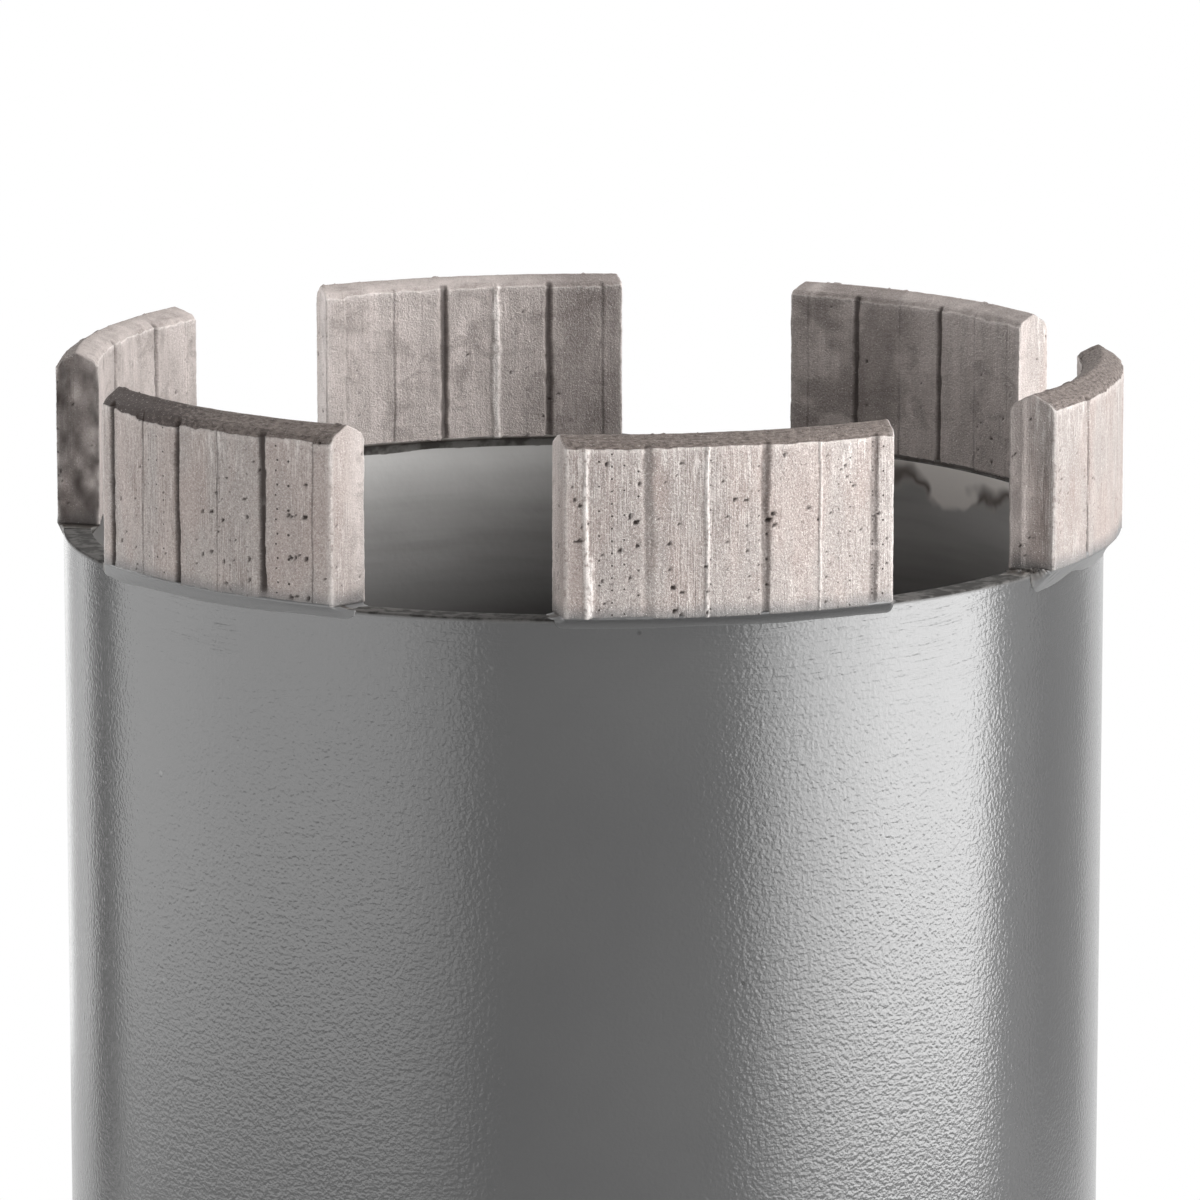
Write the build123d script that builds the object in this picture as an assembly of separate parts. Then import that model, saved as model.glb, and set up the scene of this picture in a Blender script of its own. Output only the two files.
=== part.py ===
from build123d import *
import math
import os

# Crown: sintered diamond segments on one circle, thicker than the tube that carries them
crown_diameter = 80.0
segment_count = 6
segment_length = 24.3
segment_height = 13.0
outer_overhang = 1.1
inner_overhang = 0.4
outer_bevel_rise = 1.05
inner_bevel_rise = 0.95
segment_corner = 0.25

# Pressed layers of a segment: upright joints on both faces, deep and fine by turns
layer_pitch = 4.2
first_joint_offset = 10.4
joint_count = 6
deep_joint_width = 0.6
deep_joint_depth = 0.36
fine_joint_width = 0.36
fine_joint_depth = 0.12

# Segments brazed on the other way round, with their joints mirrored
turned_segments = (2, 5)

# Barrel: thin steel tube, its length set by the depth it can drill
wall_thickness = 2.0
drilling_depth = 150.0

# Braze between the barrel's rim and each segment
braze_thickness = 0.2
braze_end_bead = 0.45
outer_fillet_drop = 1.6
inner_fillet_drop = 0.8
fillet_hollow = 0.7

# End cap: turned disc that closes the drive end
flange_thickness = 4.0
cap_spigot_height = 6.0
cap_spigot_fit = 0.05
cap_spigot_lead = 0.8
flange_chamfer = 1.5
weld_bevel_share = 0.75

# Hub: threaded connector with a wrench hexagon
hub_length = 35.0
thread_major_diameter = 31.75
hexagon_sides = 6
hexagon_across_flats = 41.0
hexagon_chamfer_angle = 30.0
seat_share = 0.95
hub_spigot_wall = 4.0
hub_spigot_fit = 0.05
collar_step = 5.0
collar_height = 5.0
collar_chamfer = 1.0
mouth_chamfer = 1.5
bore_exit_chamfer = 1.0

# Weld beads
cap_weld_crown = 0.4
hub_weld_leg = 3.5
hub_weld_crown = 0.3

# Radii that follow from the sizes above
crown_radius = crown_diameter / 2
barrel_radius = crown_radius - outer_overhang
barrel_bore_radius = barrel_radius - wall_thickness
core_radius = barrel_bore_radius - inner_overhang
weld_bevel = weld_bevel_share * wall_thickness
thread_radius = thread_major_diameter / 2
hub_spigot_radius = thread_radius + hub_spigot_wall
collar_radius = hub_spigot_radius + collar_step

# Levels above the seat face
cap_underside = hub_length
barrel_foot = cap_underside + flange_thickness
cap_top = barrel_foot + cap_spigot_height
crest_level = cap_top + drilling_depth
segment_foot = crest_level - segment_height
rim_level = segment_foot - braze_thickness


def turned(outline):
    """Revolves a closed outline of (radius, height) corners about the tool axis."""
    return revolve(make_face(Plane.XZ * Polyline(*outline, close=True)), Axis.Z)


def barrel():
    """Plain tube, square at the rim and bevelled for its weld at the drive end."""
    outline = [
        (barrel_bore_radius, barrel_foot),
        (barrel_radius - weld_bevel, barrel_foot),
        (barrel_radius, barrel_foot + weld_bevel),
        (barrel_radius, rim_level),
        (barrel_bore_radius, rim_level),
    ]
    return turned(outline)


def end_cap():
    """Flange that the barrel butts on, a spigot inside the barrel, and a hole for the hub."""
    hole_radius = hub_spigot_radius + hub_spigot_fit
    spigot_radius = barrel_bore_radius - cap_spigot_fit
    outline = [
        (hole_radius, cap_underside),
        (barrel_radius - flange_chamfer, cap_underside),
        (barrel_radius, cap_underside + flange_chamfer),
        (barrel_radius, barrel_foot - weld_bevel),
        (barrel_radius - weld_bevel, barrel_foot),
        (spigot_radius, barrel_foot),
        (spigot_radius, cap_top - cap_spigot_lead),
        (spigot_radius - cap_spigot_lead, cap_top),
        (hole_radius, cap_top),
    ]
    return turned(outline)


def hexagon():
    """Wrench hexagon with its seat end turned to a shallow cone."""
    flat_radius = hexagon_across_flats / 2
    corner_radius = flat_radius / math.cos(math.pi / hexagon_sides)
    seat_radius = flat_radius * seat_share
    cone_rise = (corner_radius - seat_radius) * math.tan(math.radians(hexagon_chamfer_angle))
    height = hub_length - collar_height
    section = RegularPolygon(
        flat_radius, hexagon_sides, major_radius=False, rotation=180 / hexagon_sides
    )
    turning = [
        (0, 0),
        (seat_radius, 0),
        (corner_radius, cone_rise),
        (corner_radius, height),
        (0, height),
    ]
    return extrude(section, height) & turned(turning)


def hub():
    """Hexagon, round collar and spigot in one piece, with the spindle's hole right through."""
    collar_foot = hub_length - collar_height
    shoulder = [
        (0, collar_foot),
        (collar_radius - collar_chamfer, collar_foot),
        (collar_radius, collar_foot + collar_chamfer),
        (collar_radius, hub_length),
        (hub_spigot_radius, hub_length),
        (hub_spigot_radius, cap_top),
        (0, cap_top),
    ]
    bore = [
        (0, 0),
        (thread_radius + mouth_chamfer, 0),
        (thread_radius, mouth_chamfer),
        (thread_radius, cap_top - bore_exit_chamfer),
        (thread_radius + bore_exit_chamfer, cap_top),
        (0, cap_top),
    ]
    return hexagon() + turned(shoulder) - turned(bore)


def cap_weld():
    """Ring bead that fills the groove between the barrel and the flange, crowned at its middle."""
    outline = [
        (barrel_radius, barrel_foot - weld_bevel),
        (barrel_radius + cap_weld_crown, barrel_foot),
        (barrel_radius, barrel_foot + weld_bevel),
        (barrel_radius - weld_bevel, barrel_foot),
    ]
    return turned(outline)


def hub_weld():
    """Ring bead in the corner between the hub's collar and the end cap, crowned at its middle."""
    reach = hub_weld_leg / 2 + hub_weld_crown
    outline = [
        (collar_radius, cap_underside),
        (collar_radius, cap_underside - hub_weld_leg),
        (collar_radius + reach, cap_underside - reach),
        (collar_radius + hub_weld_leg, cap_underside),
    ]
    return turned(outline)


def curved_bar(outline, half_length):
    """Sweeps an outline about the tool axis and cuts both ends parallel, centred on +X."""
    sweep = 3 * math.degrees(math.asin(half_length / core_radius))
    section = make_face(Plane.XZ * Polyline(*outline, close=True))
    band = Rot(0, 0, -sweep / 2) * revolve(section, Axis.Z, sweep)
    slab = Box(2 * crown_radius, 2 * half_length, 2 * crest_level)
    return band & (Pos(crown_radius, 0, 0) * slab)


def joint_slot(radius, offset, width, depth):
    """Upright slot for one joint, its own depth to each side of the face at that radius."""
    heading = math.degrees(math.asin(offset / radius))
    slot = Box(2 * depth, width, 2 * segment_height)
    return Rot(0, 0, heading) * Pos(radius, 0, segment_foot + segment_height / 2) * slot


def joint_slots(hand):
    """Slots for all the joints of one segment, each joint at the same place on both faces."""
    slots = []
    for k in range(joint_count):
        offset = hand * (first_joint_offset - k * layer_pitch)
        deep = k % 2 == 0
        width = deep_joint_width if deep else fine_joint_width
        depth = deep_joint_depth if deep else fine_joint_depth
        slots.append(joint_slot(crown_radius, offset, width, depth))
        slots.append(joint_slot(core_radius, offset, width, depth))
    return slots


def segment(number):
    """Curved cutting segment with a roof-shaped top, parallel ends and layer joints."""
    outline = [
        (core_radius, segment_foot),
        (crown_radius, segment_foot),
        (crown_radius, crest_level - outer_bevel_rise),
        ((core_radius + crown_radius) / 2, crest_level),
        (core_radius, crest_level - inner_bevel_rise),
    ]
    body = curved_bar(outline, segment_length / 2)
    body = chamfer(body.edges().filter_by(Axis.Z), segment_corner)
    hand = -1 if number in turned_segments else 1
    for slot in joint_slots(hand):
        body = body - slot
    return Rot(0, 0, heading_of(number)) * body


def hollow_point(low, high):
    """Middle of a fillet between two points, drawn in towards their corner."""
    run = high[0] - low[0]
    rise = high[1] - low[1]
    depth = fillet_hollow * math.tan(math.atan2(abs(run), rise) / 2) / 2
    side = math.copysign(1, run)
    return (low[0] + high[0]) / 2 - side * depth * rise, (low[1] + high[1]) / 2 + side * depth * run


def braze(number):
    """Braze layer on the rim with a hollow fillet under each overhang of its segment."""
    outer_low = (barrel_radius, rim_level - outer_fillet_drop)
    outer_high = (crown_radius, rim_level)
    inner_low = (barrel_bore_radius, rim_level - inner_fillet_drop)
    inner_high = (core_radius, rim_level)
    outline = [
        inner_high,
        (core_radius, segment_foot),
        (crown_radius, segment_foot),
        outer_high,
        hollow_point(outer_low, outer_high),
        outer_low,
        (barrel_radius, rim_level),
        (barrel_bore_radius, rim_level),
        inner_low,
        hollow_point(inner_low, inner_high),
    ]
    bead = curved_bar(outline, segment_length / 2 + braze_end_bead)
    return Rot(0, 0, heading_of(number)) * bead


def heading_of(number):
    """Direction of a numbered segment about the tool axis, the first one on +X."""
    return (number - 1) * 360 / segment_count


pieces = {
    "barrel": barrel(),
    "end_cap": end_cap(),
    "hub": hub(),
    "cap_weld": cap_weld(),
    "hub_weld": hub_weld(),
}
for number in range(1, segment_count + 1):
    pieces[f"segment_{number}"] = segment(number)
    pieces[f"braze_{number}"] = braze(number)

os.makedirs("parts", exist_ok=True)
for name, solid in pieces.items():
    export_step(solid, f"parts/{name}.step")
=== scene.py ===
import math
from math import pi

import bpy
import numpy as np
from mathutils import Matrix, Vector


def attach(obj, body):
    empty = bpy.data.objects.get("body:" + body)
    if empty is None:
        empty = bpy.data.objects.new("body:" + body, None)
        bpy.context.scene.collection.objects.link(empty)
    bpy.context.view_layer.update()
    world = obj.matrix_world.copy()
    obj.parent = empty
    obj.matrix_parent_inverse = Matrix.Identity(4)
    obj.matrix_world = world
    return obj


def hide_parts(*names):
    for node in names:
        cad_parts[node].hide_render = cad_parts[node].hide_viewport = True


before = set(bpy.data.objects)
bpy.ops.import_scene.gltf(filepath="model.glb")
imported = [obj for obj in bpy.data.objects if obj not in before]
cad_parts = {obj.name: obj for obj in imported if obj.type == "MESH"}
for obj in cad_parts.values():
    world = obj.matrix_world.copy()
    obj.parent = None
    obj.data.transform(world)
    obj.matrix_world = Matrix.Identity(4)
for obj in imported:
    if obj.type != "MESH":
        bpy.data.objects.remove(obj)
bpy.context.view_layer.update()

MM = 0.001

# Sizes in millimetres, the same as the solids'
CROWN_RADIUS = 40.0
CORE_RADIUS = 36.5
TUBE_RADIUS = 38.9
TUBE_BORE = 36.9
TUBE_FOOT = 39.0
RIM = 181.8
SEGMENT_FOOT = 182.0
CREST = 195.0
HALF_LENGTH = 24.3 / 2
MIDDLE_RADIUS, HALF_THICKNESS = (CROWN_RADIUS + CORE_RADIUS) / 2, (CROWN_RADIUS - CORE_RADIUS) / 2
# How far each segment's roof rises to its crest on both sides, and where its layers meet
OUTER_RISE = {**dict.fromkeys(range(1, 6), 1.05), 6: 0.76}
INNER_RISE = {1: 0.95, 2: 0.8, 3: 0.62, 4: 0.75, 5: 0.95, 6: 0.95}
JOINTS = 10.4 - 4.2 * np.arange(6)
# Pores come back after each course of this height
COURSE = 1.76
CAP_UNDERSIDE = 35.0
WELD_BEVEL = 1.5
COLLAR_RADIUS = 24.875
HUB_WELD_LEG = 3.5
THREAD_MAJOR = 15.875
THREAD_MINOR = 13.91
THREAD_PITCH = 25.4 / 7
HEADINGS = {k + 1: 60 * k for k in range(6)}
TURNED = (2, 5)
# The tube runs a little out of true with its ring of segments: how far, and towards which heading.
# With its paint it is a little thicker than the bare tube.
RUN_OUT, RUN_OUT_HEADING = 0.41, -165.1
PAINT = 0.08


# Number fields

def smooth(x, low, high):
    """Rises from 0 at low to 1 at high along 3t^2 - 2t^3."""
    t = np.clip((x - low) / (high - low), 0, 1)
    return t * t * (3 - 2 * t)


def grain(x, y, seed):
    """Smooth random field from 0 to 1: random numbers at whole coordinates, joined by 3t^2 - 2t^3."""
    table = np.random.default_rng(seed).random((128, 128))
    x, y = np.broadcast_arrays(np.asarray(x, float), np.asarray(y, float))
    i, j = np.floor(x).astype(int), np.floor(y).astype(int)
    fx, fy = x - i, y - j
    fx, fy = fx * fx * (3 - 2 * fx), fy * fy * (3 - 2 * fy)
    a, b = table[i % 128, j % 128], table[(i + 1) % 128, j % 128]
    c, d = table[i % 128, (j + 1) % 128], table[(i + 1) % 128, (j + 1) % 128]
    return (a * (1 - fx) + b * fx) * (1 - fy) + (c * (1 - fx) + d * fx) * fy


def rough(x, y, seed, octaves=3):
    """Sum of grain fields, each twice as fine and half as strong, centred on 0, about -1 to 1."""
    total = 0
    for k in range(octaves):
        total = total + (grain(x * 2 ** k, y * 2 ** k, seed + k) - 0.5) * 2 * 0.5 ** k
    return total


# Meshes

def placed(name, data):
    """A new object in the scene with this mesh, lamp or camera."""
    made = bpy.data.objects.new(name, data)
    bpy.context.scene.collection.objects.link(made)
    return made


def mesh_piece(name, points, quads, fields=None, vectors=None):
    """Puts millimetre points and quads into a smooth mesh piece, with number and vector fields per point."""
    mesh = bpy.data.meshes.new(name)
    mesh.vertices.add(len(points))
    mesh.vertices.foreach_set("co", (points * MM).astype(np.float32).ravel())
    mesh.loops.add(quads.size)
    mesh.loops.foreach_set("vertex_index", quads.astype(np.int32).ravel())
    mesh.polygons.add(len(quads))
    mesh.polygons.foreach_set("loop_start", np.arange(0, quads.size, 4, dtype=np.int32))
    mesh.update(calc_edges=True)
    mesh.shade_smooth()
    for kind, slot, table in (("FLOAT", "value", fields), ("FLOAT_VECTOR", "vector", vectors)):
        for key, values in (table or {}).items():
            mesh.attributes.new(key, kind, "POINT").data.foreach_set(slot, values.astype(np.float32).ravel())
    return placed(name, mesh)


def ring_quads(rows, columns, open_rows=False):
    """Quads of a grid whose columns close on themselves, and whose rows do so too unless they are open."""
    i, j = np.meshgrid(np.arange(rows - open_rows), np.arange(columns), indexing="ij")
    a, b = (i + 1) % rows, (j + 1) % columns
    return np.stack([i * columns + j, a * columns + j, a * columns + b, i * columns + b], -1).reshape(-1, 4)


def block_skin(a, b, c):
    """Surface lattice of a block with lines at a, b and c: its points, and its quads wound outwards."""
    shape = (len(a), len(b), len(c))
    skin = np.ones(shape, bool)
    skin[1:-1, 1:-1, 1:-1] = False
    index = np.full(shape, -1)
    index[skin] = np.arange(skin.sum())
    i, j, k = np.nonzero(skin)
    sides = ((index[0], True), (index[-1], False), (index[:, 0], False),
             (index[:, -1], True), (index[:, :, 0], True), (index[:, :, -1], False))
    quads = []
    for sheet, turned in sides:
        q = np.stack([sheet[:-1, :-1], sheet[1:, :-1], sheet[1:, 1:], sheet[:-1, 1:]], -1).reshape(-1, 4)
        quads.append(q[:, ::-1] if turned else q)
    return a[i], b[j], c[k], np.concatenate(quads)


def round_axis(r, angle, z):
    """Points at these radii, angles and heights, in rows of three numbers."""
    return np.stack([r * np.cos(angle), r * np.sin(angle), z], -1).reshape(-1, 3)


def turn_about_axis(x, y, degrees):
    """Turns points about the tool axis."""
    t = math.radians(degrees)
    return x * math.cos(t) - y * math.sin(t), x * math.sin(t) + y * math.cos(t)


# Segments

def uneven_lines(low, high, step, fine_step, centres, reach):
    """Lattice lines from low to high, fine within reach of each centre and coarser between."""
    lines = [low]
    while lines[-1] < high - 1e-6:
        near = min(abs(lines[-1] - c) for c in centres) < reach
        lines.append(min(high, lines[-1] + (fine_step if near else step)))
    return np.array(lines)


# Joints and seams of a segment's outer face: place along the chord, half width, then depth at heights 0,
# 2.6, 5.2, 7.8, 10.4 and 13; a depth below 0 stands proud
DEEP, SEAM = (0.2, (0.3, 0.3, 0.26, 0.3, 0.32, 0.34)), (0.09, (-0.04, -0.05, -0.03, -0.04, -0.03, -0.05))
JOINT_LOOKS = {
    5: {
        -10.4: (0.24, (0.34,) * 6),
        -2.0: (0.27, (0.34, 0.24, 0.26, 0.36, 0.38, 0.38)),
        6.4: (0.28, (0.12, 0.34, 0.28, 0.18, 0.18, 0.2)),
        -6.2: (0.06, (0.02, 0.02, 0.02, 0.03, 0.05, 0.06)),
        2.2: (0.045, (0.03, 0.03, 0.04, 0.04, 0.05, 0.05)),
        10.6: (0.045, (0.05, 0.05, 0.05, 0.04, 0.04, 0.04)),
    },
    6: {
        -10.6: (0.17, (-0.15, -0.17, -0.15, -0.12, -0.11, -0.11)),
        -6.4: (0.34, (0.05, 0.06, 0.09, 0.12, 0.14, 0.15)),
        -2.2: (0.12, (-0.11, -0.09, -0.12, -0.13, -0.12, -0.12)),
        2.0: (0.3, (0.22, 0.22, 0.22, 0.24, 0.26, 0.28)),
        6.2: (0.09, (-0.09, -0.1, -0.09, -0.1, -0.09, -0.1)),
        10.4: (0.3, (0.2, 0.2, 0.2, 0.2, 0.22, 0.24)),
    },
}
FAINT = (0.1, (0.03, 0.02, 0.02, 0.01, 0.02, 0.02))
INNER_LOOKS = {
    2: {
        -2.0: (0.22, (0.2, 0.22, 0.2, 0.22, 0.24, 0.22)),
        6.4: (0.26, (0.24, 0.22, 0.24, 0.22, 0.24, 0.26)),
    },
    3: {
        2.0: (0.26, (0.24, 0.22, 0.24, 0.26, 0.26, 0.26)),
        -2.2: (0.3, (-0.13, -0.14, -0.13, -0.15, -0.13, -0.14)),
        -6.4: (0.26, (0.22, 0.24, 0.22, 0.24, 0.22, 0.24)),
    },
}
# Pores that show on the near faces: place along the chord, height above the foot, size in tenths of a mm
PORES = {
    5: (
        (-8.7, 5.8, 1), (-9.3, 5.3, 2), (-8.5, 2.9, 1), (-9.1, 2.2, 2), (-3.7, 6.5, 1), (-3.6, 5.1, 1),
        (-3.5, 2.1, 1), (0.7, 5.7, 2), (1.6, 5.8, 2), (0.7, 2.6, 2), (1.6, 2.9, 2), (2.7, 6.8, 1),
        (2.7, 5.3, 2), (2.8, 2.3, 2), (3.0, 0.8, 2), (4.8, 7.1, 1.5), (5.0, 5.8, 2), (5.2, 2.8, 2),
        (5.2, 1.3, 2), (8.6, 6.3, 2.5), (8.9, 6.2, 1.5), (9.2, 6.4, 1.5), (10.0, 6.3, 3), (10.1, 8.6, 1.5),
        (8.8, 3.3, 2.5), (9.2, 3.3, 1.5), (9.5, 3.5, 1.5), (10.1, 3.3, 3), (8.8, 0.4, 2.5), (9.3, 0.5, 1.5),
        (10.2, 0.5, 3), (2.1, 7.2, 1.5), (3.1, 8.4, 1.5), (-3.9, 9.7, 1), (6.1, 9.3, 1.5), (8.5, 8.2, 1),
        (11.1, 11.7, 2), (-6.5, 8.0, 1), (11.6, 2.0, 1.5),
    ),
    6: (
        (-9.2, 11.0, 3), (-11.4, 8.5, 2), (-11.0, 8.1, 2), (-6.9, 9.6, 2), (-5.1, 9.7, 1), (-4.0, 11.0, 2),
        (-7.6, 7.3, 2.5), (-7.2, 6.9, 3), (-10.9, 6.6, 1), (-11.0, 5.6, 2), (-11.3, 5.5, 2), (-4.9, 5.3, 2),
        (-5.1, 7.1, 1), (-7.1, 5.2, 2), (-7.5, 5.7, 1), (-8.3, 4.9, 2), (-9.5, 4.6, 1), (-9.5, 2.7, 1),
        (-8.8, 2.5, 1), (-7.6, 2.9, 2), (-9.4, 1.1, 1), (-4.6, 2.2, 3), (-4.0, 1.8, 2), (-4.8, 3.5, 1.5),
        (-3.0, 4.0, 1), (-4.5, 0.5, 3), (-4.0, 0.2, 2), (-1.1, 9.6, 1), (-0.2, 8.3, 2), (0.6, 8.2, 1.5),
        (0.7, 6.4, 1), (0.7, 4.6, 1), (0.8, 2.8, 1), (0.9, 1.2, 1), (3.4, 11.3, 2), (2.3, 6.7, 3.5),
        (2.6, 7.1, 3), (2.7, 6.3, 2), (2.2, 5.7, 1.5), (2.2, 3.9, 1.5), (2.2, 2.1, 1.5), (5.1, 10.6, 1),
        (5.3, 7.4, 2), (8.1, 10.2, 1.5), (8.3, 9.4, 1), (7.8, 10.0, 1), (8.8, 8.7, 1.5), (6.0, 6.5, 1),
        (10.8, 6.5, 2), (10.5, 6.3, 1), (11.5, 4.7, 1), (11.5, 2.9, 1), (11.6, 1.3, 1), (-2.3, 3.6, 1.5),
        (-2.2, 1.8, 1.5), (-2.2, 0.3, 2),
    ),
    1: (
        (-11.2, 8.8, 1.5), (-11.4, 7.3, 1), (-11.0, 6.6, 1.5), (-11.2, 5.7, 1), (-11.4, 4.9, 1.5),
        (-11.2, 3.4, 1), (-11.0, 2.7, 1.5), (-10.0, 5.4, 1), (-8.8, 9.4, 1), (-8.5, 8.1, 1),
        (-7.1, 6.6, 1.5), (-5.6, 7.4, 1), (-5.4, 5.8, 1.5), (-5.2, 2.8, 1), (-6.9, 4.9, 1), (-7.1, 3.6, 1),
    ),
}


def random_pores(seed, count, width, spacing):
    """Places and sizes of pores over a face; most stand in columns at an even spacing up the face."""
    rng = np.random.default_rng(seed)
    single = np.stack([rng.uniform(-width, width, count), rng.uniform(0.3, 11.5, count)], -1)
    foot = np.stack([rng.uniform(-width, width, count // 3), rng.uniform(0.2, 0.2 + spacing, count // 3)], -1)
    columns = [foot + (0, spacing * k) + rng.normal(0, 0.05, foot.shape) for k in range(4)]
    places = np.concatenate([single] + columns)
    places = places[places[:, 1] < 11.4]
    return np.column_stack([places, 0.7 + 1.6 * rng.random(len(places)) ** 3])


def pore_depth(x, y, spots, seed):
    """Depth of pores at a point: the deepest of depth * exp(-(distance / radius)^4), each slightly oval."""
    rng = np.random.default_rng(seed)
    total = np.zeros(np.broadcast(x, y).shape)
    for px, py, size in spots:
        radius = 0.05 + 0.032 * size
        near = (np.abs(x - px) < 3 * radius) & (np.abs(y - py) < 3 * radius)
        tilt, oval = rng.uniform(0, pi), rng.uniform(0.8, 1.25)
        dx, dy = x[near] - px, y[near] - py
        a = (dx * math.cos(tilt) + dy * math.sin(tilt)) * oval
        b = (dy * math.cos(tilt) - dx * math.sin(tilt)) / oval
        q = (a * a + b * b) / radius ** 2
        total[near] = np.maximum(total[near], (0.05 + 0.09 * size) * np.exp(-q * q))
    return total


def face_relief(u, h, number, inner):
    """Depth of a segment's curved face below its highest points, and how dark its hollows are.

    depth = step of the layer + for each joint depth(height) * exp(-((u - joint) / width)^4)
            + upright scratches + grains + low swell + pores
    """
    seed = 1000 * number + 500 * inner
    rng = np.random.default_rng(seed)
    hand = -1 if number in TURNED else 1
    looks = (INNER_LOOKS if inner else JOINT_LOOKS).get(number, {})
    heights = np.linspace(0, 13, 6)
    depth, dark, proud = np.full(u.shape, 0.15), np.zeros(u.shape), np.zeros(u.shape)
    steps = rng.uniform(-0.04, 0.04, 7)
    for k, place in enumerate(np.sort(hand * JOINTS)):
        deep = k % 2 == (1 if hand > 0 else 0)
        usual = FAINT if inner and looks else DEEP if deep else SEAM
        width, depths = looks.get(round(float(place), 1), usual)
        depths = np.array(depths)
        if not looks:
            depths = depths * rng.uniform(0.6, 1.1, 6)
            width = width * rng.uniform(0.8, 1.2)
        depth = depth + (steps[k + 1] - steps[k]) * smooth(u, place - 0.06, place + 0.06)
        sway = 0.05 * rough(h / 3.0, k, seed + 11 * k, 2) + 0.02 * rough(h / 0.5, k, seed + 12 * k, 2)
        across = (u - place - sway) / (width * (0.65 + 0.5 * grain(h / 0.9, 7, seed + k)
                                        + 0.2 * grain(h / 0.25, 9, seed + k)))
        own = np.interp(h, heights, depths)
        if deep and not inner:
            filled = smooth(grain(h / 0.8, 3 * k, seed + 5 * k), 0.62, 0.8)
            own = own * (1 - 0.55 * filled * smooth(h, 8.0, 6.0))
        line = np.exp(-across ** 4)
        depth = depth + own * line
        proud = np.maximum(proud, line * smooth(-own, 0.05, 0.14))
        # Deep joints are darkened the more the deeper they are: the joints' own dark colour, partly painted
        # shade.
        if deep:
            share = 0.7 if inner else 0.42 if number == 6 else 1.0
            dark = np.maximum(dark, line * smooth(own, 0.02, 0.2) * share)
            lip = np.exp(-((u - place - sway + hand * (width + 0.1)) / 0.07) ** 2)
            depth = depth - 0.035 * lip * smooth(own, 0.05, 0.2)
        else:
            dark = np.maximum(dark, 0.55 * line * smooth(own, 0.0, 0.04))
    if number == 6 and not inner:
        # Beads of metal that ran down the first seam and froze one above the other
        for top, size in ((4.2, 0.2), (2.9, 0.19), (2.1, 0.2), (1.1, 0.22)):
            q = ((u + 10.35) / size) ** 2 + ((h - top + 0.4) / 0.62) ** 2
            depth = depth - 0.1 * np.exp(-q * q)
            proud = np.maximum(proud, np.exp(-q * q))
    scratch = 0.01 * rough(u / 0.14, h / 6.0, seed + 70, 2) * (0.5 + 1.2 * grain(u / 3.5, h / 6, seed + 69))
    if number == 5 and not inner:
        ribbed = smooth(u, 6.7, 7.2) * smooth(u, 10.4, 10.0) * smooth(h, 12, 9)
        scratch = scratch + 0.016 * np.sin(u * 2 * pi / 0.36) * ribbed
    grains = 0.014 * rough(u / 0.2, h / 0.2, seed + 71, 2)
    swell = 0.025 * rough(u / 2.4, h / 3.4, seed + 72, 2)
    own_pores = [] if inner else list(PORES.get(number, ()))
    more = random_pores(seed + 80, 10 if own_pores else 16, HALF_LENGTH - 0.4, 1.78)
    if own_pores:
        more[:, 2] = np.minimum(more[:, 2], 0.9)
    hollow = pore_depth(u, h, own_pores + [tuple(p) for p in more], seed + 81)
    if inner:
        hollow = hollow * 0.6
    depth = np.maximum(depth + scratch + grains + swell, 0.0)
    # Pores darken with their depth: partly painted shade.
    return depth + hollow, np.maximum(dark, smooth(hollow, 0.03, 0.1)), proud


def end_relief(n, h, number, sign):
    """Depth of a segment's flat end below its highest points, and how dark its pores are."""
    seed = 5000 + 60 * number + 9 * sign
    spots = random_pores(seed, 5, 1.5, 2.95)
    depth = 0.05 + 0.014 * rough(n / 0.2, h / 0.2, seed + 2, 2) + 0.012 * rough(n / 0.13, h / 5, seed + 3, 2)
    ridges = {(1, -1): (-0.64, 0.06), (5, 1): (0.9, 0.015), (6, -1): (-0.7, 0.03)}
    ridge, proud = ridges.get((number, sign), (0.5, 0.02))
    depth = depth - proud * np.exp(-((n - ridge) / 0.1) ** 2) + proud * 0.8 * smooth(n, ridge, ridge + 0.3)
    hollow = pore_depth(n, h, [tuple(p) for p in spots], seed + 5)
    # A few ends, most the fourth segment's, are darkened all over: partly sooty, partly painted shade; pores
    # darken with their depth, partly painted shade.
    soot_and_shade = {(4, 1): 0.82, (1, -1): 0.34, (6, -1): 0.1}.get((number, sign), 0.0)
    soot_and_shade = soot_and_shade * (0.7 + 0.45 * rough(n / 1.1, h / 1.6, seed + 7, 3))
    return np.maximum(depth, 0) + hollow, np.maximum(smooth(hollow, 0.03, 0.1), soot_and_shade)


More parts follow.
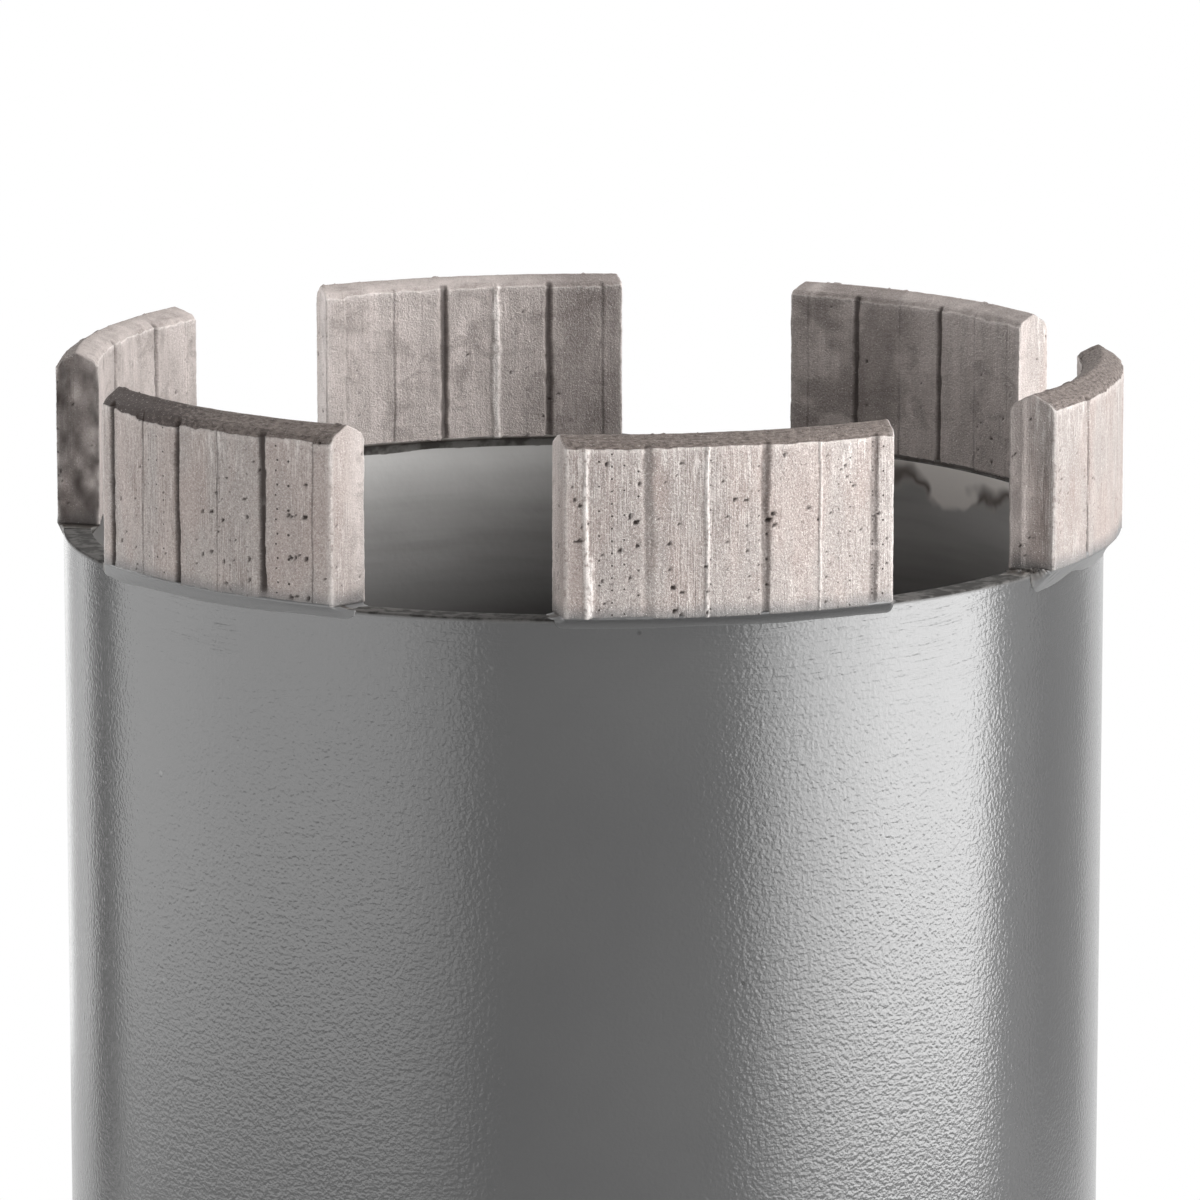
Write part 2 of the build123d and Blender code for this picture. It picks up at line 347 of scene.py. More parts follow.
def segment_surface(number):
    """Curved cutting segment as a warped block.

    A point at (n, u, c) of the block lies at radius 38.25 + 1.75 n, at u along the chord and at height
    foot + c (top - foot), where top is the roof's height crest - rise |n| less its small chips. Each face is
    then drawn inwards by its own relief, which fades as exp(-(distance from the face / 0.35)^2). Where two
    faces meet both draw back by radius (1 - cos(q pi / 4)), q rising from 0 to 1 towards the edge.
    """
    half = HALF_LENGTH
    hand = -1 if number in TURNED else 1
    us = uneven_lines(-half, half, 0.16, 0.075, list(hand * JOINTS) + [-half, half], 0.42)
    ns = np.concatenate([np.linspace(-1, -0.86, 4), np.linspace(-0.78, 0.78, 19), np.linspace(0.86, 1, 4)])
    cs = np.linspace(0, 1, 88)
    n, u, c, quads = block_skin(ns, us, cs)
    seed = 300 + 10 * number

    # Roof: straight slopes with small lumps; its lower edges are ragged and step a little from layer to layer
    slope = np.where(n > 0, OUTER_RISE[number], INNER_RISE[number]) * np.sqrt(n * n + 0.0012)
    lumps = 0.014 * rough(u / 0.9, n * 2.5, seed) + 0.1 * smooth(grain(u / 0.35, n * 5, seed + 1), 0.86, 1.0)
    lumps = lumps + 0.012 * np.sin(n * 14 + rough(u / 5.0, 0, seed + 8, 2))
    steps = np.random.default_rng(seed + 2).uniform(0, 0.22, 7)
    step = steps[0] + sum((steps[k + 1] - steps[k]) * smooth(u, place - 0.05, place + 0.05)
                          for k, place in enumerate(np.sort(hand * JOINTS)))
    teeth = 0.1 * grain(u / 0.45, 3 + np.sign(n), seed + 3)
    teeth = teeth + 0.12 * smooth(grain(u / 1.3, 5 + np.sign(n), seed + 4), 0.5, 0.9)
    if number == 5:
        teeth = teeth + 0.3 * smooth(u, -7.1, -6.9) * smooth(u, -1.0, -2.5)
    eave = smooth(np.abs(n), 0.7, 0.99)
    ragged = 0.6 if number == 6 else 1.0
    top = CREST - 0.09 - slope + np.minimum(lumps, 0.09) * (1 - 0.5 * eave) - (teeth + step) * eave * ragged
    z = SEGMENT_FOOT + c * (top - SEGMENT_FOOT)
    h = z - SEGMENT_FOOT

    relief_out, dark_out, proud_out = face_relief(u, h, number, 0)
    relief_in, dark_in, proud_in = face_relief(u, h, number, 1)
    ends = [end_relief(n * HALF_THICKNESS, h, number, sign) for sign in (-1, 1)]
    relief_end, dark_end = (np.where(u < 0, ends[0][k], ends[1][k]) for k in (0, 1))

    rho = MIDDLE_RADIUS + n * HALF_THICKNESS
    from_out, from_in, from_end = CROWN_RADIUS - rho, rho - CORE_RADIUS, half - np.abs(u)
    near_out, near_in, near_end = (np.exp(-(d / 0.35) ** 2) for d in (from_out, from_in, from_end))
    wear = 0.1 + 0.14 * grain(h / 1.2, u / 3.0, seed + 5)

    def drawn(distance):
        """How far a worn edge draws back at this distance from it."""
        return wear * (1 - np.cos(np.clip(1 - distance / wear, 0, 1) * pi / 4))

    rho = rho - near_out * (relief_out + drawn(from_end)) + near_in * (relief_in + drawn(from_end))
    u_new = u - np.sign(u) * near_end * (relief_end + drawn(np.minimum(from_out, from_in)))
    z = z - drawn(from_end) * smooth(c, 0.97, 1.0)
    x, y = turn_about_axis(np.sqrt(rho * rho - u_new * u_new), u_new, HEADINGS[number])

    on_side = np.maximum(near_out, near_in)
    hollow = np.clip(near_out * dark_out + near_in * dark_in + near_end * dark_end, 0, 1)
    roof = (c > 0.999) * (np.abs(n) < 0.97) * smooth(from_end, 0.02, 0.14)
    skin = roof * np.where(n > 0, 1.0, {2: 0.2, 3: 0.15, 4: 0.25}.get(number, 1.0))
    burnt = 0.05 + 0.95 * smooth(-u, -4, 8) if number == 5 else np.full(u.shape, 0.1 if number == 6 else 0.2)
    # Sooty patches on the inner faces of the far segments and a little on the outer faces of two near ones;
    # the darkening towards one end of the third segment's inner face is painted shade.
    patches = rough(u / 4.2, h / 3.6, seed + 21, 3)
    soot_and_shade = {2: 0.5 * smooth(patches, 0.0, 0.45) * smooth(u, -4, 6) + 0.22 * smooth(-u, 2, 9),
            3: 0.52 * smooth(-u, 0, 10) * (0.8 + 0.5 * patches)}.get(number, 0 * u) * (n < 0)
    soot_and_shade = soot_and_shade + {1: 0.13 + 0 * u, 6: 0.1 * smooth(-u, -4, 9)}.get(number, 0 * u) * (n > 0.5)
    soot_and_shade = np.clip(soot_and_shade, 0, 1)
    # Paler at the top of the side faces, along the ends and on proud ridges: partly worn metal, partly
    # painted highlight.
    edge = 0.35 * smooth(c, 0.955, 0.995) * on_side * (roof < 0.5) + near_end * on_side * 0.5
    edge = edge + 1.3 * (near_out * proud_out + near_in * proud_in) * (roof < 0.5)
    tone, coarse = {1: (0.0, 0.6), 2: (0.8, 0.8), 3: (0.9, 0.8), 5: (1.0, 0.75)}.get(number, (1.0, 0.85))
    shades = np.random.default_rng(seed + 6).random(7) * tone
    layer = shades[np.searchsorted(np.sort(hand * JOINTS), u)]
    return mesh_piece(
        f"cutter_{number}", np.stack([x, y, z], -1), quads,
        {"hollow": hollow, "roof": roof, "edge": np.clip(edge, 0, 1), "layer": layer,
         "end": near_end * (1 - on_side), "coarse": np.full(u.shape, coarse), "skin": skin, "burnt": burnt,
         "soot_and_shade": soot_and_shade},
        {"local": np.stack([n * HALF_THICKNESS, u + 40 * number, h], -1)})


# Tube

def run_out(angle, height):
    """Shift of the tube's wall: RUN_OUT cos(angle - its heading), none at the cap, all from 120 mm up."""
    return RUN_OUT * np.cos(angle - math.radians(RUN_OUT_HEADING)) * smooth(height, 45, 120)


def tube_surface():
    """Drawn tube: a profile of (radius, height) turned about the tool axis, its rim corners rounded.

    radius = profile radius + run-out + a low swell of up to 0.02 mm, angle = 2 pi j / columns.
    """
    rim_round = 0.12
    arc = np.linspace(0, pi / 2, 5)
    outer = np.append(np.linspace(TUBE_FOOT + WELD_BEVEL, RIM - 2, 60), [RIM - 0.35, RIM - 0.16])
    inner = np.linspace(RIM - rim_round, TUBE_FOOT, 50)[1:]
    radius = np.concatenate([
        np.full(outer.size, TUBE_RADIUS),
        TUBE_RADIUS - rim_round + rim_round * np.cos(arc),
        np.linspace(TUBE_RADIUS - rim_round, TUBE_BORE + rim_round, 6)[1:-1],
        TUBE_BORE + rim_round - rim_round * np.sin(arc),
        np.full(inner.size, TUBE_BORE),
        np.linspace(TUBE_BORE, TUBE_RADIUS - WELD_BEVEL, 3)[1:],
    ])
    height = np.concatenate([
        outer,
        RIM - rim_round + rim_round * np.sin(arc),
        np.full(4, RIM),
        RIM - rim_round + rim_round * np.cos(arc),
        inner,
        np.full(2, TUBE_FOOT),
    ])
    radius, height = radius[:, None], height[:, None]
    columns = 480
    angle = 2 * pi * np.arange(columns) / columns
    r = radius - 0.02 * grain(height / 14, 10 + 6 * np.cos(angle), 41) + run_out(angle, height)
    r = r + PAINT * smooth(height, 45, 120) * smooth(radius, TUBE_BORE + 0.5, TUBE_RADIUS - 0.5)
    inside = radius < TUBE_BORE + 0.05
    rim = np.where(radius > TUBE_BORE + 0.01, smooth(height, RIM - 0.3, RIM - 0.08), height > RIM - 0.07)
    z, inside, rim = (np.broadcast_to(field, r.shape) for field in (height, inside, rim))
    quads = ring_quads(len(radius), columns)[:, ::-1]
    return mesh_piece("tube", round_axis(r, angle, z), quads, {"inside": inside, "rim": rim})


# Braze

def foot_path(half_length, half_width, corner, step):
    """Rounded rectangle round a segment's foot: place (u, n) and outward direction (du, dn) along it."""
    straight_u, straight_n, bend = 2 * (half_length - corner), 2 * (half_width - corner), pi / 2 * corner
    runs = [straight_n, bend, straight_u, bend] * 2
    marks = np.concatenate([[0], np.cumsum(runs)])
    stops = [np.linspace(a, b, max(7, int((b - a) / step)), endpoint=False)
             for a, b in zip(marks[:-1], marks[1:])]
    s = np.concatenate(stops)
    run = np.searchsorted(marks, s, side="right") - 1
    into = s - marks[run]
    far, wide, a, b = half_length, half_width, half_length - corner, half_width - corner
    start = np.array([[far, -b], [far, b], [a, wide], [-a, wide],
                      [-far, b], [-far, -b], [-a, -wide], [a, -wide]])
    turned = np.array([0, 0, 1, 1, 2, 2, 3, 3])[run] * pi / 2
    angle = turned + np.where(run % 2 == 1, into / corner, 0)
    du, dn = np.cos(angle), np.sin(angle)
    ahead_u, ahead_n = -np.sin(turned), np.cos(turned)
    u = start[run, 0] + np.where(run % 2 == 0, ahead_u * into, corner * (du - np.cos(turned)))
    n = start[run, 1] + np.where(run % 2 == 0, ahead_n * into, corner * (dn - np.sin(turned)))
    return u, n, du, dn


# Drop of the braze down the tube's outside at one end of each segment, a quarter of the way along and at
# the other end, and how hollow its section is
DROPS = {1: ((1.5, 1.0, 2.3), 1.3), 2: ((1.2, 1.5, 1.2), 1.8), 3: ((1.2, 1.5, 1.2), 1.8),
         4: ((1.3, 1.3, 0.8), 1.2), 5: ((1.1, 1.0, 0.8), 1.7), 6: ((0.8, 0.8, 0.8), 1.7)}
# How far the braze spreads over the rim past a segment's ends, at least and by chance; more at one end of
# the first
SPREAD, CRUMBLED = (0.4, 0.45), (1.2, 1.2)


def braze_surface(number):
    """Painted fillet of braze round a segment's foot.

    Its upper edge is a thin film on the segment's faces. From the foot the section runs hollow to the tube's
    wall, or at the segment's ends to its rim: across = 1 - (1 - s)^bend on the sides and s^1.8 at the ends,
    with down = s. Round a corner the lower edge follows a quarter of an ellipse, spread |du| along and drop
    |dn| down, (du, dn) being the outward direction. The heights of both edges change along the run, and
    behind them the section closes in the metal.
    """
    seed = 7000 + 31 * number
    half = HALF_LENGTH
    u0, n0, du, dn = foot_path(half - 0.1, 1.62, 0.3, 0.13)
    out, inn, end = np.maximum(dn, 0) ** 2, np.maximum(-dn, 0) ** 2, du ** 2
    x, y = u0 * 1.0, n0 * 1.7
    climb = {1: 0.45, 4: 0.45}.get(number, 0.16) * out + 0.16 * inn + 0.34 * end
    climb = climb * (0.75 + 0.5 * grain(x / 2.6, y, seed)) + 0.03 * grain(x / 0.6, y, seed + 1)
    drops, bend = DROPS[number]
    corner = {1: 0.9, 6: 0.5}.get(number, 1.5)
    drop = np.interp(u0, (-half, -half / 2, half), drops) * out ** 0.5 + 0.7 * inn ** 0.5
    drop = drop * (0.88 + 0.24 * grain(x / 3.1, y, seed + 2))
    rho_foot = MIDDLE_RADIUS + n0
    moved = run_out(math.radians(HEADINGS[number]) + np.arcsin(u0 / TUBE_RADIUS), RIM)
    wall, bore = TUBE_RADIUS + PAINT + moved, TUBE_BORE + moved
    on_rim = smooth(rho_foot, wall + 0.7, wall - 0.3) * smooth(rho_foot, bore - 0.3, bore + 0.3)
    least, more = (np.where((u0 < 0) & (number == 1), most, usual) for most, usual in zip(CRUMBLED, SPREAD))
    past = corner * (n0 > 0) + 0.35 * (n0 < 0)
    reach = on_rim * (least + more * grain(x / 0.7, y / 0.7, seed + 4)) + (1 - on_rim) * past
    u_low = u0 + reach * du
    rho_low = np.clip(rho_foot, bore + 0.01, wall - 0.035)
    z_low = RIM - drop + 0.005
    z_foot = SEGMENT_FOOT - 0.02
    s = np.linspace(0, 1, 18)[:, None] ** 1.3
    across = (out + inn) * (1 - (1 - s) ** bend) + end * s ** 1.8
    lump = 0.1 * smooth(grain(x / 0.7, y, seed + 3), 0.6, 0.95) * np.sin(pi * s)
    lump = lump * (0.12 * out + 0.25 * inn + end * on_rim)
    if number == 1:
        crumbs = smooth(grain(x / 0.25 + 7 * s, y / 0.25 + 5 * s, seed + 9), 0.45, 0.8)
        crumbs = crumbs * smooth(-u0, half - 3.5, half - 0.4)
        lump = lump + 0.28 * crumbs * np.sin(pi * s ** 0.7) * (0.6 * out + end)
    u = u0 * (1 - across) + u_low * across + lump * du
    rho = rho_foot * (1 - across) + rho_low * across + lump * dn
    z = z_foot * (1 - s) + z_low * s + lump * 0.9
    film = [(u0 - 0.22 * du, rho_foot - 0.22 * dn, SEGMENT_FOOT + climb),
            (u0 - 0.045 * du, rho_foot - 0.045 * dn, SEGMENT_FOOT + climb - 0.03),
            (u0 - 0.015 * du, rho_foot - 0.015 * dn, SEGMENT_FOOT + climb * 0.45)]
    back = [(u_low - 0.5 * du, rho_low - 0.35 * dn, np.minimum(z_low + 0.15, RIM - 0.2)),
            (u0 - 0.6 * du, rho_foot - 0.6 * dn, z_foot + 0 * u0)]
    uu, rr, zz = (np.concatenate([[p[k] for p in film], body, [p[k] for p in back]])
                  for k, body in enumerate((u, rho, z)))
    rr = np.minimum(rr, CROWN_RADIUS - 0.005)
    px, py = turn_about_axis(np.sqrt(rr * rr - uu * uu), uu, HEADINGS[number])
    bare = np.maximum(smooth(grain(x / 1.1, y, seed + 6), 0.55, 0.85) * 0.7 * end, inn)
    bare = np.maximum(bare, {4: 1.0, 1: 0.45, 5: 1.0 * (u0 < 0)}.get(number, 0.0) * end)
    # Share by which each fillet's enamel is lightened: painted light that makes up for the shade on its
    # downward-facing slope.
    painted_fill_light = np.full(uu.shape, {5: 1.0, 6: 0.15, 1: 0.4}.get(number, 0.5))
    quads = ring_quads(len(uu), uu.shape[1])
    return mesh_piece(f"fillet_{number}", np.stack([px, py, zz], -1).reshape(-1, 3), quads,
                      {"bare": np.broadcast_to(bare, uu.shape), "painted_fill_light": painted_fill_light})


# Weld beads

def bead_surface(name, low, corner, far, crown, ripples, seed):
    """Ring weld bead: a three-sided section with a crowned face, turned about the tool axis.

    The face bulges by crown * sin(pi t), and rises and falls by a saw-tooth along the ring whose teeth are
    curved across the face, as the frozen edges of a weld pool are.
    """
    columns = 1200
    angle = 2 * pi * np.arange(columns) / columns
    t = np.linspace(0, 1, 13)[:, None]
    low, corner, far = np.array(low), np.array(corner), np.array(far)
    face = low + (far - low) * t[..., None] * np.ones((1, columns, 1))
    out = np.array([-(far - low)[1], (far - low)[0]])
    out = out / np.hypot(*out)
    if np.dot(out, (low + far) / 2 - corner) < 0:
        out = -out
    swing = 0.25 * grain(7 * np.cos(angle), 7 * np.sin(angle), seed)
    tooth = (ripples * angle / (2 * pi) + 0.9 * (t - 0.5) ** 2 + swing) % 1
    ridge = 0.1 * (smooth(tooth, 0.0, 0.25) - smooth(tooth, 0.25, 1.0))
    body = crown * np.sin(pi * t) * (0.85 + 0.3 * grain(20 * np.cos(angle), 20 * np.sin(angle), seed + 1))
    lift = body + ridge * np.sin(pi * t) ** 0.5
    face = face + lift[..., None] * out
    back = np.broadcast_to(corner + 0 * low, (1, columns, 2))
    section = np.concatenate([face, back])
    return mesh_piece(name, round_axis(section[..., 0], angle, section[..., 1]),
                      ring_quads(len(section), columns))


# Thread

def thread_surface():
    """Ridge of the hub's right-hand thread: a trapezium carried along a helix.

    angle = 2 pi s, height = start + pitch s; the depth grows and dies away over half a turn at each end.
    """
    turns = 11.1
    steps = int(turns * 120)
    s = np.linspace(0, turns, steps)
    grow = smooth(s, 0, 0.6) * smooth(turns - s, 0, 0.6)
    depth = (THREAD_MAJOR - THREAD_MINOR) * grow
    slope = math.tan(math.radians(30))
    base = THREAD_PITCH / 16 * 7
    inset = 0.04
    soft = 0.1
    lower = [THREAD_MAJOR + inset + 0 * s, THREAD_MAJOR - depth + soft * grow, THREAD_MAJOR - depth]
    radius = np.stack(lower + lower[::-1], -1)
    below = [-base + 0 * s, -base + (depth - soft * grow) * slope, -base + depth * slope + soft]
    half = np.stack(below + [-b for b in below[::-1]], -1)
    angle = 2 * pi * s[:, None]
    z = 2.4 + THREAD_PITCH * s[:, None] + half * (0.08 + 0.92 * grow[:, None])
    quads = ring_quads(steps, 6, open_rows=True)[:, ::-1]
    first = np.array([[0, 5, 4, 3], [0, 3, 2, 1]])[:, ::-1]
    last = (steps - 1) * 6 + np.array([[0, 5, 4, 3], [0, 3, 2, 1]])
    return mesh_piece("thread", round_axis(radius, angle, z), np.concatenate([quads, first, last]))


# Finishes

class Term:
    """A shader value; arithmetic on it adds Math nodes."""

    def __init__(self, finish, socket):
        self.finish, self.socket = finish, socket

    def math(self, operation, *values):
        return self.finish.node("Math", dict(enumerate((self, *values))), {"operation": operation})

    def __add__(self, other):
        return self.math("ADD", other)

    def __mul__(self, other):
        return self.math("MULTIPLY", other)

    def __sub__(self, other):
        return self.math("SUBTRACT", other)

    def __rsub__(self, other):
        return self * -1 + other

    def __pow__(self, other):
        return self.math("POWER", other)

    __radd__, __rmul__ = __add__, __mul__

    def most(self, other):
        return self.math("MAXIMUM", other)

    def step(self, low, high):
        """0 below low, 1 above high, smooth between; falls where low is above high."""
        return self.finish.node("MapRange", {0: self, 1: low, 2: high}, {"interpolation_type": "SMOOTHSTEP"})


class Finish:
    """Node tree of one material, or of the world."""

    def __init__(self, name, owner=None):
        self.owner = owner or bpy.data.materials.new(name)
        self.owner.use_nodes = True
        self.tree = self.owner.node_tree
        self.tree.nodes.clear()

    def node(self, kind, inputs=None, settings=None, output=0):
        """Adds a node: its settings first, then its sockets' values or links; gives back one output."""
        made = self.tree.nodes.new("ShaderNode" + kind)
        for key, value in (settings or {}).items():
            setattr(made, key, value)
        for key, value in (inputs or {}).items():
            if isinstance(value, Term):
                self.tree.links.new(value.socket, made.inputs[key])
            else:
                made.inputs[key].default_value = value
        return Term(self, made.outputs[output]) if made.outputs else None

    def place(self):
        """Object coordinates in metres."""
        return self.node("TexCoord", output="Object")

    def scaled(self, vector, scale):
        return self.node("Mapping", {"Vector": vector, "Scale": scale})

    def joined(self, x, y, z=0.0):
        return self.node("CombineXYZ", {0: x, 1: y, 2: z})

    def split(self, vector, axis):
        return self.node("SeparateXYZ", {0: vector}, output=axis)

    def field(self, name, output="Fac"):
        return self.node("Attribute", None, {"attribute_name": name}, output)

    def noise(self, vector, scale, detail=2.0, roughness=0.5, distortion=0.0):
        return self.node("TexNoise", {"Vector": vector, "Scale": scale, "Detail": detail,
                                      "Roughness": roughness, "Distortion": distortion})

    def cells(self, vector, scale, output=0, flat=False):
        """Distance to the nearest of scattered points, or with output 1 a random colour for each."""
        return self.node("TexVoronoi", {"Vector": vector, "Scale": scale},
                         {"voronoi_dimensions": "2D" if flat else "3D"}, output)

    def mix(self, factor, a, b):
        """Blends two colours."""
        a, b = (c if isinstance(c, Term) else (*c, 1.0) for c in (a, b))
        return self.node("Mix", {0: factor, 6: a, 7: b}, {"data_type": "RGBA"}, 2)

    def bump(self, height, strength, distance):
        return self.node("Bump", {"Strength": strength, "Distance": distance, "Height": height})

    def edges(self, radius):
        """1 at sharp edges: where the normal rounded over this radius leaves the true one."""
        rounded = self.node("Bevel", {"Radius": radius}, {"samples": 4})
        true = self.node("NewGeometry", output="Normal")
        turned = self.node("VectorMath", {0: rounded, 1: true}, {"operation": "DOT_PRODUCT"}, "Value")
        return turned.step(0.992, 0.94)

    def ray(self, kind):
        """1 for this kind of ray."""
        return self.node("LightPath", output=f"Is {kind} Ray")

    def glow(self, tone):
        return self.node("Emission", {"Color": (tone, tone, tone, 1), "Strength": 1.0})

    def shader(self, **inputs):
        """Principled shader; keys are socket names with _ for a blank."""
        return self.node("BsdfPrincipled", {key.replace("_", " "): v for key, v in inputs.items()})

    def blend(self, factor, a, b):
        return self.node("MixShader", {0: factor, 1: a, 2: b})

    def finished(self, shader, output="OutputMaterial"):
        """Gives the material or the world this shader."""
        self.node(output, {"Surface": shader})
        return self.owner


# Height of the enamel's orange peel, and how strongly its paint reflects
PEEL = 0.000045
ENAMEL_IOR = 1.75
# Colours that come back
PALE_GRIT_AND_HIGHLIGHT, DARK_GRIT, DARK_STEEL = (0.85, 0.8, 0.77), (0.17, 0.14, 0.125), (0.085, 0.08, 0.077)


def sprayed(f, at):
    """Grey enamel sprayed over a brushed tube: its colour, roughness and height."""
    peel = f.noise(at, 3500, 1.0)
    fine = f.noise(at, 7500, 1.0, 0.6)
    sway = f.noise(at, 40, 1.0)
    height_at = f.split(at, "Z") + (sway - 0.5) * 0.004
    brushed = f.noise(f.joined(f.split(at, "X") * 0.06, f.split(at, "Y") * 0.06, height_at), 2400, 2.0, 0.6)
    patch = f.noise(at, 55, 3.0)
    seeds = f.cells(at, 300)
    few = f.split(f.cells(at, 300, output=1), "X")
    nib = (1 - seeds.step(0.03, 0.09)) * few.step(0.84, 0.86)
    pit = (1 - seeds.step(0.02, 0.07)) * few.step(0.07, 0.05)
    base = f.mix(patch.step(0.35, 0.7), (0.05, 0.05, 0.051), (0.061, 0.061, 0.061))
    base = f.mix(nib * 0.5, base, (0.24, 0.24, 0.24))
    base = f.mix(pit, base, (0.012, 0.012, 0.012))
    worn = f.edges(0.0003) * f.noise(at, 700, 3.0).step(0.45, 0.62)
    base = f.mix(worn * 0.5, base, (0.22, 0.217, 0.213))
    near_rim = f.split(at, "Z").step((RIM - 11) * MM, (RIM - 3) * MM)
    lines = brushed * (0.4 * patch.step(0.3, 0.75) + near_rim * patch.step(0.38, 0.55) * 0.45)
    height = peel * 0.6 * (1 - near_rim * 0.25) + fine * 0.1 + lines + nib * 0.3 - pit * 0.3
    gloss = 0.12 + fine * 0.05 + patch * 0.05
    return base, gloss, height


def enamel_shader(f, at):
    """The sprayed enamel as a shader."""
    base, gloss, height = sprayed(f, at)
    return f.shader(Base_Color=base, Roughness=gloss, Normal=f.bump(height, 1.0, PEEL), IOR=ENAMEL_IOR)


def enamel_paint():
    """Grey enamel: orange peel, faint round-the-tube brushing, dust, pits and thin edges."""
    f = Finish("enamel")
    return f.finished(enamel_shader(f, f.place()))


def tube_paint():
    """The same enamel outside; inside drawn steel with soft sooty streaks and flux left near the rim, darker
    deeper down as painted shade, and darker away from its far side.
    """
    f = Finish("tube_enamel")
    at = f.place()
    inside, rim = f.field("inside"), f.field("rim")
    x, y, z = (f.split(at, axis) for axis in "XYZ")
    flat = f.joined(x, y, z * 2.6)
    cloud = f.noise(flat, 42, 3.0, 0.5, 0.3)
    streak = f.noise(f.scaled(flat, (0.25, 0.25, 1.0)), 260, 3.0, 0.55)
    depth = (RIM * MM - z) * 1000
    wander = f.noise(at, 150, 3.0, 0.55)
    wall = f.mix(cloud.step(0.3, 0.7), (0.33, 0.322, 0.315), (0.58, 0.572, 0.562))
    wall = f.mix(streak.step(0.35, 0.8) * 0.3, wall, (0.16, 0.15, 0.145))
    # Darker deeper down the bore: painted shade.
    wall = f.mix((depth + cloud * 9.0).step(7.0, 21.0) * 0.88, wall, (0.055, 0.052, 0.05))
    # White flux below the rim at the bore's far side: lumpy and brown-edged at the right, cloudy at the left
    lumpy = x.step(-0.004, 0.008)
    lumps = depth + wander * 7.0
    flux = 1 - (lumps.step(5.4, 6.4) * lumpy
                + (depth + wander * 3.0 + cloud * 6.0).step(3.5, 11.0) * (1 - lumpy))
    side = y.step(0.006, 0.022)
    wall = f.mix((1 - side) * 0.8, wall, DARK_STEEL)
    wall = f.mix(flux * side * (0.75 + lumpy * 0.2), wall,
                 f.mix(lumpy, (0.7, 0.69, 0.675), (0.93, 0.89, 0.85)))
    tide = flux * side * lumps.step(4.0, 5.6) * lumpy * wander.step(0.4, 0.5)
    wall = f.mix(tide * 0.9, wall, (0.085, 0.062, 0.054))
    grit = f.noise(at, 900, 3.0, 0.6)
    wall = f.mix(rim, wall, f.mix(grit.step(0.4, 0.6), (0.03, 0.028, 0.026), (0.11, 0.105, 0.1)))
    height = cloud * 2.0 + streak * 0.5 + f.noise(at, 1800, 2.0) * 0.25 + grit * rim
    gloss = (0.5 + cloud * 0.25) * (1 - rim) + rim * 0.95
    steel = f.shader(Base_Color=wall, Roughness=gloss, Metallic=0.25 * (1 - rim),
                     Normal=f.bump(height, 1.0, PEEL), IOR=1.4)
    return f.finished(f.blend(inside.most(rim), enamel_shader(f, at), steel))


